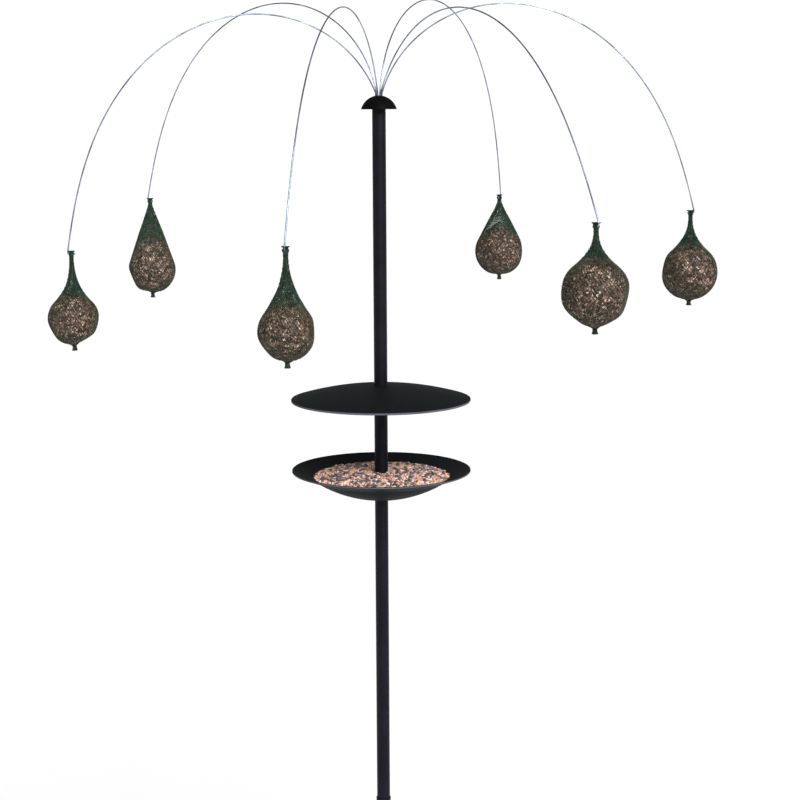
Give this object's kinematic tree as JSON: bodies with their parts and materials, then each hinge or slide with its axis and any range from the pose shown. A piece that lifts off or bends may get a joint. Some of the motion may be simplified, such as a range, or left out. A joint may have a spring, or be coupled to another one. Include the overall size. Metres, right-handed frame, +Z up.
{
  "type": "bird feeder on pole",
  "caption": "Garden pole with sprung wire arms that hang netted fat balls, and a domed roof over a seed tray.",
  "frame": {"origin": "on the pole axis at ground level, at the underside of the spike's flange, so that the spike is below it", "axes": "+Z up along the pole, +X to the right and -Y towards the viewer"},
  "size_m": [0.7818, 0.7561, 1.8927],
  "materials": {
    "black_powder_coat": "satin black powder coat",
    "black_plastic": "moulded, satin",
    "collar_nylon": "moulded",
    "zinc_steel": "zinc plated",
    "spike_steel": "satin black powder coat",
    "spring_steel": "bright drawn",
    "green_net": "knitted polyethylene net",
    "fat_ball": "pressed suet and seed",
    "seed_mix": "loose seed"
  },
  "bodies": {
    "pole": {"pole_lower": "black_powder_coat", "pole_upper": "black_powder_coat", "joint_sleeve": "black_powder_coat", "sleeve_rivets": "zinc_steel", "ground_spike": "spike_steel", "wire_holder": "collar_nylon", "dome_cap": "black_plastic"},
    "roof": {"roof_disc": "black_plastic", "roof_collar": "collar_nylon", "roof_screw": "zinc_steel"},
    "tray": {"tray_bowl": "black_plastic", "tray_collar": "collar_nylon", "tray_screw": "zinc_steel", "seed_fill": "seed_mix"},
    "stem_1": {"wire_1_stem": "spring_steel"},
    "arm_1": {"wire_1": "spring_steel"},
    "feeder_1": {"net_1": "green_net", "fat_ball_1": "fat_ball"},
    "stem_2": {"wire_2_stem": "spring_steel"},
    "arm_2": {"wire_2": "spring_steel"},
    "feeder_2": {"net_2": "green_net", "fat_ball_2": "fat_ball"},
    "stem_3": {"wire_3_stem": "spring_steel"},
    "arm_3": {"wire_3": "spring_steel"},
    "feeder_3": {"net_3": "green_net", "fat_ball_3": "fat_ball"},
    "stem_4": {"wire_4_stem": "spring_steel"},
    "arm_4": {"wire_4": "spring_steel"},
    "feeder_4": {"net_4": "green_net", "fat_ball_4": "fat_ball"},
    "stem_5": {"wire_5_stem": "spring_steel"},
    "arm_5": {"wire_5": "spring_steel"},
    "feeder_5": {"net_5": "green_net", "fat_ball_5": "fat_ball"},
    "stem_6": {"wire_6_stem": "spring_steel"},
    "arm_6": {"wire_6": "spring_steel"},
    "feeder_6": {"net_6": "green_net", "fat_ball_6": "fat_ball"}
  },
  "joints": [
    {"name": "roof_slide", "type": "slide", "parent": "pole", "child": "roof", "axis": [0, 0, 1], "range_m": [-0.04, 0.25]},
    {"name": "tray_slide", "type": "slide", "parent": "pole", "child": "tray", "axis": [0, 0, 1], "range_m": [-0.35, 0.03]},
    {"name": "swivel_1", "type": "hinge", "parent": "pole", "child": "stem_1", "pos_m": [0.00369, 0.00065, 1.55], "axis": [0, 0, 1], "range_deg": [-12, 12]},
    {"name": "flex_1", "type": "hinge", "parent": "stem_1", "child": "arm_1", "pos_m": [0.02718, 0.00271, 1.59663], "axis": [0.0872, -0.9962, 0], "range_deg": [-15, 15], "stiffness_Nm_per_rad": 0.3, "springref_deg": 64.53},
    {"name": "swing_1", "type": "hinge", "parent": "arm_1", "child": "feeder_1", "pos_m": [0.37201, 0.03287, 1.41053], "axis": [0.0872, -0.9962, 0], "range_deg": [-35, 35]},
    {"name": "swivel_2", "type": "hinge", "parent": "pole", "child": "stem_2", "pos_m": [0.00128, 0.00352, 1.55], "axis": [0, 0, 1], "range_deg": [-12, 12]},
    {"name": "flex_2", "type": "hinge", "parent": "stem_2", "child": "arm_2", "pos_m": [0.00885, 0.01775, 1.59828], "axis": [0.8829, -0.4695, 0], "range_deg": [-15, 15], "stiffness_Nm_per_rad": 0.3, "springref_deg": 55.97},
    {"name": "swing_2", "type": "hinge", "parent": "arm_2", "child": "feeder_2", "pos_m": [0.16211, 0.306, 1.41884], "axis": [0.8829, -0.4695, 0], "range_deg": [-35, 35]},
    {"name": "swivel_3", "type": "hinge", "parent": "pole", "child": "stem_3", "pos_m": [-0.00241, 0.00287, 1.55], "axis": [0, 0, 1], "range_deg": [-12, 12]},
    {"name": "flex_3", "type": "hinge", "parent": "stem_3", "child": "arm_3", "pos_m": [-0.019, 0.01493, 1.59749], "axis": [0.5878, 0.809, 0], "range_deg": [-15, 15], "stiffness_Nm_per_rad": 0.3, "springref_deg": 49.71},
    {"name": "swing_3", "type": "hinge", "parent": "arm_3", "child": "feeder_3", "pos_m": [-0.29829, 0.21785, 1.42113], "axis": [0.5878, 0.809, 0], "range_deg": [-35, 35]},
    {"name": "swivel_4", "type": "hinge", "parent": "pole", "child": "stem_4", "pos_m": [-0.00369, -0.00065, 1.55], "axis": [0, 0, 1], "range_deg": [-12, 12]},
    {"name": "flex_4", "type": "hinge", "parent": "stem_4", "child": "arm_4", "pos_m": [-0.03091, -0.00846, 1.59478], "axis": [-0.2756, 0.9613, 0], "range_deg": [-15, 15], "stiffness_Nm_per_rad": 0.3, "springref_deg": 41.11},
    {"name": "swing_4", "type": "hinge", "parent": "arm_4", "child": "feeder_4", "pos_m": [-0.34675, -0.09902, 1.37676], "axis": [-0.2756, 0.9613, 0], "range_deg": [-35, 35]},
    {"name": "swivel_5", "type": "hinge", "parent": "pole", "child": "stem_5", "pos_m": [-0.00128, -0.00352, 1.55], "axis": [0, 0, 1], "range_deg": [-12, 12]},
    {"name": "flex_5", "type": "hinge", "parent": "stem_5", "child": "arm_5", "pos_m": [-0.00819, -0.03346, 1.59383], "axis": [-0.9744, 0.225, 0], "range_deg": [-15, 15], "stiffness_Nm_per_rad": 0.3, "springref_deg": 43.35},
    {"name": "swing_5", "type": "hinge", "parent": "arm_5", "child": "feeder_5", "pos_m": [-0.09017, -0.38853, 1.40128], "axis": [-0.9744, 0.225, 0], "range_deg": [-35, 35]},
    {"name": "swivel_6", "type": "hinge", "parent": "pole", "child": "stem_6", "pos_m": [0.00241, -0.00287, 1.55], "axis": [0, 0, 1], "range_deg": [-12, 12]},
    {"name": "flex_6", "type": "hinge", "parent": "stem_6", "child": "arm_6", "pos_m": [0.01843, -0.03118, 1.593], "axis": [-0.8704, -0.4924, 0], "range_deg": [-15, 15], "stiffness_Nm_per_rad": 0.3, "springref_deg": 74.96},
    {"name": "swing_6", "type": "hinge", "parent": "arm_6", "child": "feeder_6", "pos_m": [0.20926, -0.36847, 1.42076], "axis": [-0.8704, -0.4924, 0], "range_deg": [-35, 35]}
  ]
}
